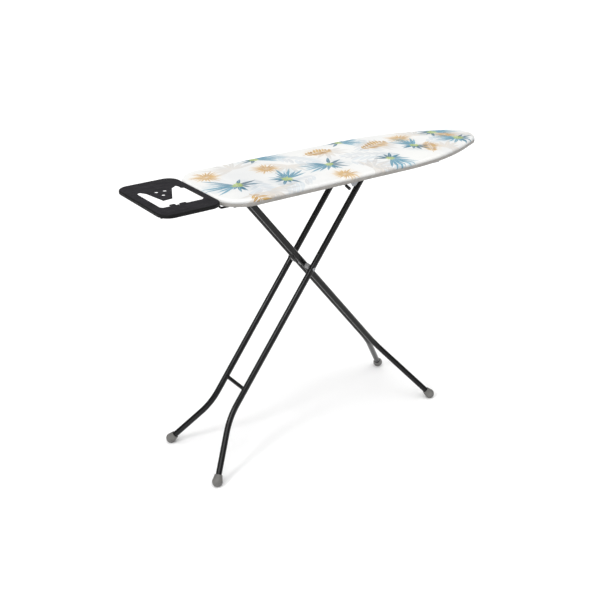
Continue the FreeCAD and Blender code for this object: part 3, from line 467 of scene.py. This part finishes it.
def paint_material(name, dark, light, roughness, grain, depth, shine=0.3, wall_shade_colour=None):
    """Paint over steel: a slight mottle in colour and the orange peel of a sprayed coat.

    The last argument is painted shade: the colour of the faces that don't look up or down, darker
    than the top.
    """
    made, nodes, shader = new_material(name, Specular_IOR_Level=shine)
    place = nodes.position()
    colour = nodes.mix(nodes.ramp(nodes.noise(place, 14.0, 5.0, 0.6), 0.35, 0.7), dark, light)
    if wall_shade_colour:
        # painted shade: faces that don't look up or down take the shade colour
        level = nodes.math("ABSOLUTE", split(
            nodes, nodes.add("ShaderNodeTexCoord").outputs["Normal"])[2])
        colour = nodes.mix(nodes.ramp(level, 0.90, 0.995, smooth=True), wall_shade_colour, colour)
    nodes.feed(shader.inputs["Base Color"], colour)
    nodes.feed(shader.inputs["Roughness"], nodes.ramp(
        nodes.noise(place, 70.0, 4.0), 0.3, 0.7, roughness * 0.8, roughness * 1.25))
    nodes.feed(shader.inputs["Normal"], nodes.bump(nodes.noise(place, grain, 3.0), 0.35, depth))
    return made


def zinc_material():
    """Zinc plate: pale crystal patches over drawn steel."""
    made, nodes, shader = new_material("zinc_plate", Metallic=1.0)
    place = nodes.position()
    spangle = nodes.add("ShaderNodeTexVoronoi")
    nodes.feed(spangle.inputs["Vector"], place)
    spangle.inputs["Scale"].default_value = 190.0
    drawn = nodes.noise(nodes.stretched(place, (1.0, 0.06, 1.0)), 1200.0, 2.0)
    tone = nodes.math("MULTIPLY_ADD", spangle.outputs["Distance"], 0.7,
                      nodes.math("MULTIPLY", drawn, 0.5))
    nodes.feed(shader.inputs["Base Color"], nodes.mix(tone, rgb(104, 107, 111),
                                                      rgb(158, 160, 163)))
    nodes.feed(shader.inputs["Roughness"], nodes.ramp(tone, 0.2, 0.9, 0.24, 0.46))
    nodes.feed(shader.inputs["Normal"], nodes.bump(drawn, 0.12, 0.0002))
    return made


def plastic_material(name, dark, light, roughness):
    """Moulded plastic with a fine spark-eroded grain."""
    made, nodes, shader = new_material(name, Specular_IOR_Level=0.45)
    place = nodes.position()
    nodes.feed(shader.inputs["Base Color"], nodes.mix(
        nodes.ramp(nodes.noise(place, 40.0, 4.0, 0.6), 0.35, 0.7), dark, light))
    nodes.feed(shader.inputs["Roughness"], nodes.ramp(
        nodes.noise(place, 260.0, 3.0), 0.3, 0.7, roughness * 0.85, roughness * 1.15))
    nodes.feed(shader.inputs["Normal"], nodes.bump(nodes.noise(place, 1400.0, 2.0), 0.3, 0.0002))
    return made


MATERIALS = {
    "cover_cotton": cover_material(),
    "hem_tape": hem_material(),
    "felt": felt_material(),
    "frame_paint": paint_material("frame_paint", rgb(150, 152, 154), rgb(172, 174, 176),
                                  0.42, 420.0, 0.0003),
    "zinc_steel": zinc_material(),
    "black_paint": paint_material("black_paint", rgb(6, 6, 7), rgb(12, 12, 13), 0.22, 320.0,
                                  0.0001, shine=0.28),
    # the rest plate's walls get painted shade, near black
    "rest_paint": paint_material("rest_paint", rgb(19, 18, 22), rgb(31, 29, 34), 0.60, 900.0,
                                 0.0006, shine=0.2, wall_shade_colour=rgb(6, 6, 7)),
    "foot_plastic": plastic_material("foot_plastic", rgb(92, 91, 89), rgb(109, 108, 105),
                                     0.5),
    "spacer_plastic": plastic_material("spacer_plastic", rgb(140, 140, 141),
                                       rgb(158, 158, 159), 0.45),
    "black_plastic": plastic_material("black_plastic", rgb(26, 26, 27), rgb(38, 38, 40), 0.5),
}


# ------------------------------------------------------------------ the board's outline

def half_outline():
    """The outline's pieces from the middle of the tail edge to the nose tip, on the +Y side.

    Each is (length, f), where f(s) gives a point and the outward normal at distance s.
    """
    turn, rise = TAPER_ANGLE, HALF_WIDTH - TAPER_RADIUS * (1 - math.cos(TAPER_ANGLE))
    run = (rise - NOSE_RADIUS * math.cos(turn)) / math.sin(turn)
    nose_centre = NOSE_X - NOSE_RADIUS
    taper_end = nose_centre + NOSE_RADIUS * math.sin(turn) - run * math.cos(turn)
    taper_start = taper_end - TAPER_RADIUS * math.sin(turn)

    def line(start, end, normal):
        start, end = Vector(start), Vector(end)
        length = (end - start).length
        return length, lambda s: (start.lerp(end, s / length), Vector(normal))

    def arc(centre, radius, from_angle, swept):
        def at(s):
            angle = from_angle - s / radius
            normal = Vector((math.cos(angle), math.sin(angle)))
            return Vector(centre) + normal * radius, normal
        return radius * swept, at

    tail_half, side_start = HALF_WIDTH - CORNER_RADIUS, TAIL_X + CORNER_RADIUS
    slope = (math.sin(turn), math.cos(turn))
    return [
        line((TAIL_X, 0), (TAIL_X, tail_half), (-1, 0)),
        arc((side_start, tail_half), CORNER_RADIUS, math.pi, math.pi / 2),
        line((side_start, HALF_WIDTH), (taper_start, HALF_WIDTH), (0, 1)),
        arc((taper_start, HALF_WIDTH - TAPER_RADIUS), TAPER_RADIUS, math.pi / 2, turn),
        line((taper_end, rise), (taper_end + run * math.cos(turn), NOSE_RADIUS * math.cos(turn)),
             slope),
        arc((nose_centre, 0), NOSE_RADIUS, math.pi / 2 - turn, math.pi / 2 - turn),
    ]


def outline(count):
    """count points round the outline with their outward normals, mirrored about y = 0."""
    stretches = half_outline()
    total = sum(length for length, _ in stretches)
    half = []
    for step in range(count // 2 + 1):
        left = total * step / (count // 2)
        for number, (length, at) in enumerate(stretches):
            if left <= length or number == len(stretches) - 1:
                half.append(at(min(left, length)))
                break
            left -= length
    mirrored = [(Vector((p.x, -p.y)), Vector((n.x, -n.y))) for p, n in half[-2:0:-1]]
    return half + mirrored


def half_width_at(x, inset):
    """Half the board's width at x, drawn in by inset."""
    ring = [point - normal * inset for point, normal in outline(400)[:201]]
    for a, b in zip(ring, ring[1:]):
        if a.x <= x <= b.x and b.x > a.x:
            return a.y + (b.y - a.y) * (x - a.x) / (b.x - a.x)
    return 0.0


def mesh_object(name, verts, faces, smooth=True):
    data = bpy.data.meshes.new(name)
    data.from_pydata([tuple(v) for v in verts], [], faces)
    data.update()
    for polygon in data.polygons:
        polygon.use_smooth = smooth
    thing = bpy.data.objects.new(name, data)
    bpy.context.scene.collection.objects.link(thing)
    return thing


def finish_piece(thing, slot, body, *nodes):
    """Gives a piece its material and its body, and hides the CAD nodes that it stands for."""
    thing.data.materials.clear()
    thing.data.materials.append(MATERIALS[slot])
    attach(thing, body)
    if nodes:
        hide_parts(*nodes)
    return thing


def apply_modifiers(thing):
    graph = bpy.context.evaluated_depsgraph_get()
    made = bpy.data.meshes.new_from_object(thing.evaluated_get(graph))
    thing.modifiers.clear()
    thing.data = made


def ring_faces(count, first, second):
    """Quads between two rings of count points, whose first indices are given."""
    return [(first + n, first + (n + 1) % count, second + (n + 1) % count, second + n)
            for n in range(count)]


def solid_of_rings(name, count, rings, closed=True):
    """A skin through rings of points; closed joins the last ring to the first."""
    verts = [point for ring in rings for point in ring]
    faces = []
    last = len(rings) if closed else len(rings) - 1
    for number in range(last):
        faces += ring_faces(count, number * count, (number + 1) % len(rings) * count)
    return mesh_object(name, verts, faces)


# ------------------------------------------------------------------ the cover

COVER_POINTS = 480
COVER_DROP = BOARD_TOP - COVER_LOW.z
MARGIN = 0.060           # how far in the rings follow the outline before they close up
CLOTH_STEPS = 20
MOST_UP, MOST_DOWN, MOST_ASIDE = 0.0022, 0.0006, 0.0015
SWELL_SCALE = 0.006      # a simulated rise of this lifts the cloth three quarters of the most
EDGE_FADE = 0.05         # the cloth moves freely from this far inside the edge


def cover_profile():
    """The cover's edge as (inset, height) pairs, from the top's margin down the side and under."""
    steps = 7
    curve = [(EDGE_ROUNDING * (1 - math.sin(a)), BOARD_TOP - EDGE_ROUNDING * (1 - math.cos(a)))
             for a in (math.pi / 2 * n / steps for n in range(steps + 1))]
    wall_low = COVER_LOW.z + 0.001
    wall = [(0.0, BOARD_TOP - EDGE_ROUNDING - (COVER_DROP - EDGE_ROUNDING - 0.001) * n / 5)
            for n in range(1, 6)]
    return curve + wall + [(0.0012, wall_low - 0.0009), (0.0040, wall_low - 0.0010)]


def board_cover():
    """One skin: the top, the rounded edge and the side, settled on the pad as loose cloth."""
    around = outline(COVER_POINTS)
    first, last = TAIL_X + 0.105, NOSE_X - 0.085
    rings = []
    for inset, height in reversed(cover_profile()):
        rings.append([(*(p - n * inset), height) for p, n in around])
    for step in range(1, 11):
        inset = EDGE_ROUNDING + (MARGIN - EDGE_ROUNDING) * step / 10
        rings.append([(*(p - n * inset), BOARD_TOP) for p, n in around])
    edge = [Vector(point[:2]) for point in rings[-1]]
    steps = 16
    for step in range(1, steps + 1):
        share = step / steps
        rings.append([(*p.lerp(Vector((min(max(p.x, first), last), 0.0)), share), BOARD_TOP)
                      for p in edge])
    cover = solid_of_rings("cover_cloth", COVER_POINTS, rings, closed=False)
    tidy = bmesh.new()
    tidy.from_mesh(cover.data)
    bmesh.ops.remove_doubles(tidy, verts=tidy.verts, dist=0.0002)
    bmesh.ops.recalc_face_normals(tidy, faces=tidy.faces)
    if sum(face.normal.z * face.calc_area() for face in tidy.faces) < 0:
        bmesh.ops.reverse_faces(tidy, faces=tidy.faces)
    tidy.to_mesh(cover.data)
    tidy.free()
    settle(cover)
    return cover


def settle(cover):
    """Cloth simulation: a slightly generous cover eases into soft folds over the pad."""
    rest = [v.co.copy() for v in cover.data.vertices]
    held = cover.vertex_groups.new(name="held")
    for v in cover.data.vertices:
        down = (BOARD_TOP - EDGE_ROUNDING * 0.6 - v.co.z) / EDGE_ROUNDING
        held.add([v.index], min(max(down, 0.0), 1.0), "REPLACE")
    cloth = cover.modifiers.new("cloth", "CLOTH")
    cloth.settings.vertex_group_mass = "held"
    cloth.settings.quality = 6
    cloth.settings.mass = 0.2
    cloth.settings.bending_stiffness = 0.35
    cloth.settings.tension_stiffness = 25
    cloth.settings.compression_stiffness = 25
    cloth.settings.shrink_min = -0.012
    cloth.settings.use_pressure = True
    cloth.settings.uniform_pressure_force = 1.2
    cloth.settings.effector_weights.gravity = 0.0
    cloth.collision_settings.use_self_collision = False
    scene = bpy.context.scene
    for number in range(1, CLOTH_STEPS + 1):
        scene.frame_set(number)
    apply_modifiers(cover)
    edge = kdtree.KDTree(COVER_POINTS)
    for number, (point, _) in enumerate(outline(COVER_POINTS)):
        edge.insert((*point, 0.0), number)
    edge.balance()
    for v, was in zip(cover.data.vertices, rest):
        gap = edge.find((was.x, was.y, 0.0))[2]
        free = min(max((gap - EDGE_ROUNDING) / EDGE_FADE, 0.0), 1.0)
        free *= free * (3 - 2 * free)
        move = v.co - was
        up = math.tanh(move.z / SWELL_SCALE) * (MOST_UP if move.z > 0 else MOST_DOWN)
        side = Vector((move.x, move.y, 0.0))
        if side.length > MOST_ASIDE:
            side = side.normalized() * MOST_ASIDE
        v.co = was + (side + Vector((0.0, 0.0, up))) * free
    cover.vertex_groups.clear()
    scene.frame_set(1)


def cover_hem():
    """The gathered hem: it wraps the side's foot and puckers under the rim."""
    random.seed(11)
    count = 720
    around = outline(count)
    waves = [(random.uniform(0.6, 1.0), n, random.uniform(0, 2 * math.pi))
             for n in (96, 131, 167, 61)]
    under = HEM_LOW.z
    rings = []
    profile = [(-0.0004, 0.0095, 0.0), (-0.0006, 0.0040, 0.0), (-0.0004, 0.0012, 0.02),
               (0.0012, 0.0002, 0.05), (0.0050, 0.0000, 0.25), (0.0110, 0.0000, 0.6),
               (0.0170, 0.0002, 0.9), (0.0215, 0.0004, 1.0)]
    thickness = 0.0009
    skins = [(profile, 0.0), (list(reversed(profile)), thickness)]
    for path, lift in skins:
        for inset, height, ruffle in path:
            ring = []
            for number, (p, n) in enumerate(around):
                turn = 2 * math.pi * number / count
                pucker = sum(a * math.sin(k * turn + phase) for a, k, phase in waves) / 4
                inward = inset + lift * (1.0 if height > 0.0015 else 0.3)
                z = under + height + lift * (0.0 if height > 0.0015 else 1.0)
                z += 0.0022 * ruffle * (0.5 + 0.5 * pucker)
                ring.append((*(p - n * (inward + 0.0015 * ruffle * pucker)), z))
            rings.append(ring)
    return solid_of_rings("gathered_hem", count, rings)


def felt_pad():
    """The felt under the cover, with a soft edge."""
    count, steps = 240, 4
    around = outline(count)
    low, high = PAD_LOW.z, PAD_HIGH.z - 0.0003
    radius = (high - low) / 2
    rings = []
    for step in range(steps * 2 + 1):
        angle = math.pi * step / (steps * 2)
        inset = 0.0016 + radius * (1 - math.sin(angle))
        rings.append([(*(p - n * inset), (low + high) / 2 - radius * math.cos(angle))
                      for p, n in around])
    pad = solid_of_rings("felt_pad", count, rings, closed=False)
    fill = bmesh.new()
    fill.from_mesh(pad.data)
    bmesh.ops.holes_fill(fill, edges=fill.edges)
    bmesh.ops.recalc_face_normals(fill, faces=fill.faces)
    fill.to_mesh(pad.data)
    fill.free()
    return pad


# ------------------------------------------------------------------ expanded mesh

def expanded_mesh():
    """Diamond mesh: struts round rhombic openings, inside a plain margin over the rim."""
    long_pitch, short_pitch, strut = 0.024, 0.012, 0.0017
    margin = RIM_WIDTH - 0.004
    level = (MESH_LOW.z + MESH_HIGH.z) / 2
    verts, faces, index = [], [], {}

    def corner(column, row):
        if (column, row) not in index:
            index[column, row] = len(verts)
            verts.append((TAIL_X + column * long_pitch / 2, row * short_pitch / 2, level))
        return index[column, row]

    columns = int((NOSE_X - TAIL_X) / (long_pitch / 2)) + 1
    widths = [half_width_at(TAIL_X + c * long_pitch / 2, margin) for c in range(columns + 1)]
    rows = int(HALF_WIDTH / (short_pitch / 2)) + 1
    for column in range(1, columns):
        for row in range(-rows, rows + 1):
            if (column + row) % 2:
                continue
            y = row * short_pitch / 2
            reach = min(widths[column - 1], widths[column + 1])
            if abs(y) + short_pitch / 2 > reach:
                continue
            faces.append((corner(column - 1, row), corner(column, row - 1),
                          corner(column + 1, row), corner(column, row + 1)))
    sheet = mesh_object("expanded_mesh", verts, faces, smooth=False)
    struts = sheet.modifiers.new("struts", "WIREFRAME")
    struts.thickness = strut
    struts.use_boundary = True
    struts.use_even_offset = False
    apply_modifiers(sheet)
    for v in sheet.data.vertices:
        v.co.z = level + (v.co.z - level) * (MESH_HIGH.z - MESH_LOW.z) / strut
    return sheet


# ------------------------------------------------------------------ CAD nodes

def shade_cad_nodes():
    """Each CAD node gets the material of its slot in the record."""
    slots = {part["node"]: part["material_slot"] for part in frame["record"]["subparts"]}
    for name, thing in frame["nodes"].items():
        thing.data.materials.clear()
        thing.data.materials.append(MATERIALS[slots[name]])


# ------------------------------------------------------------------ camera, light, floor

def studio():
    """A pale floor, an even world that looks white beyond it, and the lamps."""
    floor = mesh_object("floor", [(-GROUND, -GROUND, 0), (GROUND, -GROUND, 0),
                                  (GROUND, GROUND, 0), (-GROUND, GROUND, 0)], [(0, 1, 2, 3)])
    made, _, shader = new_material("pale_floor", Roughness=0.9, Specular_IOR_Level=0.1)
    shader.inputs["Base Color"].default_value = (0.93, 0.93, 0.93, 1.0)
    floor.data.materials.append(made)
    world = bpy.data.worlds.new("studio")
    world.use_nodes = True
    sky = Nodes(world.node_tree)
    backdrop = world.node_tree.nodes["Background"]
    backdrop.inputs["Color"].default_value = (1.0, 1.0, 1.0, 1.0)
    seen = sky.add("ShaderNodeLightPath").outputs["Is Camera Ray"]
    sky.feed(backdrop.inputs["Strength"], sky.ramp(seen, 0.0, 1.0, WORLD_LIGHT, 1.0))
    bpy.context.scene.world = world
    for name, towards, power, angle in LAMPS:
        light = bpy.data.lights.new(name, "SUN")
        light.energy, light.angle = power, math.radians(angle)
        lamp = bpy.data.objects.new(name, light)
        lamp.rotation_euler = Vector(towards).to_track_quat("-Z", "Y").to_euler()
        bpy.context.scene.collection.objects.link(lamp)


def camera():
    lens = bpy.data.cameras.new("camera")
    lens.sensor_width, lens.lens = 36.0, 55.21
    eye = bpy.data.objects.new("camera", lens)
    eye.location = (-1.5554, -2.0489, 1.6256)
    eye.rotation_euler = (math.radians(90 - 25.285), 0.0, math.radians(-35.772))
    bpy.context.scene.collection.objects.link(eye)
    bpy.context.scene.camera = eye


# ------------------------------------------------------------------ build

camera()
studio()
bpy.context.scene.view_settings.view_transform = "Standard"
shade_cad_nodes()

cloth = finish_piece(board_cover(), "cover_cotton", "board", "cover")
hem = finish_piece(cover_hem(), "hem_tape", "board", "cover_hem")
pad = finish_piece(felt_pad(), "felt", "board", "pad")
finish_piece(expanded_mesh(), "frame_paint", "board", "mesh_top")
